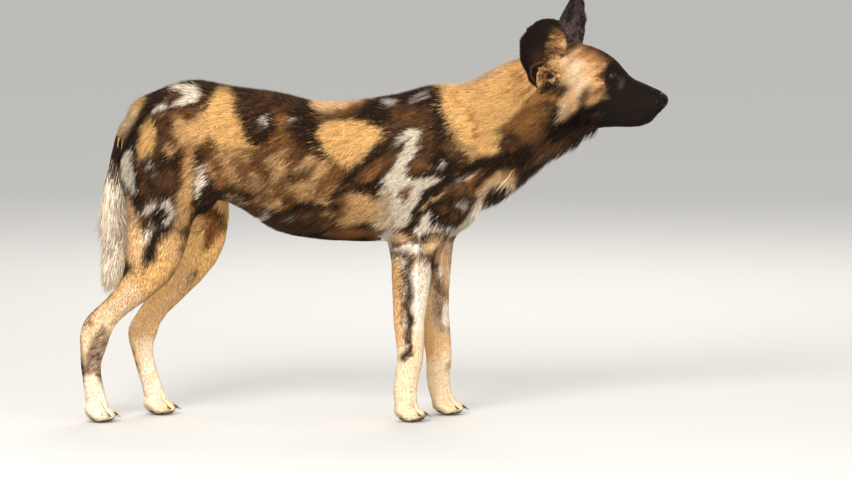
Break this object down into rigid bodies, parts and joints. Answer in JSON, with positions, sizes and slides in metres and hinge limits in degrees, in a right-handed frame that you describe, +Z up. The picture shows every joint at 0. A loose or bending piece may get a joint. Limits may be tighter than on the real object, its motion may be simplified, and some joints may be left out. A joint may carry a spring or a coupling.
{
  "type": "african wild dog",
  "caption": "Life-size still model of a standing African wild dog with blotched coat, large round ears and bushy tail, its head turned a little to its right.",
  "frame": {"origin": "on the floor, below the middle of the box that holds the model", "axes": "+X from tail to nose, +Y to the dog's left, +Z up"},
  "size_m": [1.175, 0.232, 0.861],
  "materials": {
    "coat": "short blotched fur",
    "tail_coat": "long soft hair, mostly white",
    "ear_coat": "short dark fur",
    "eye": "dark, wet gloss"
  },
  "bodies": {
    "root": {"torso": "coat", "neck": "coat", "head": "coat", "foreleg_right": "coat", "foreleg_left": "coat", "hindleg_right": "coat", "hindleg_left": "coat", "tail": "tail_coat", "ear_right": "ear_coat", "ear_left": "ear_coat", "eye_right": "eye", "eye_left": "eye"}
  },
  "joints": []
}
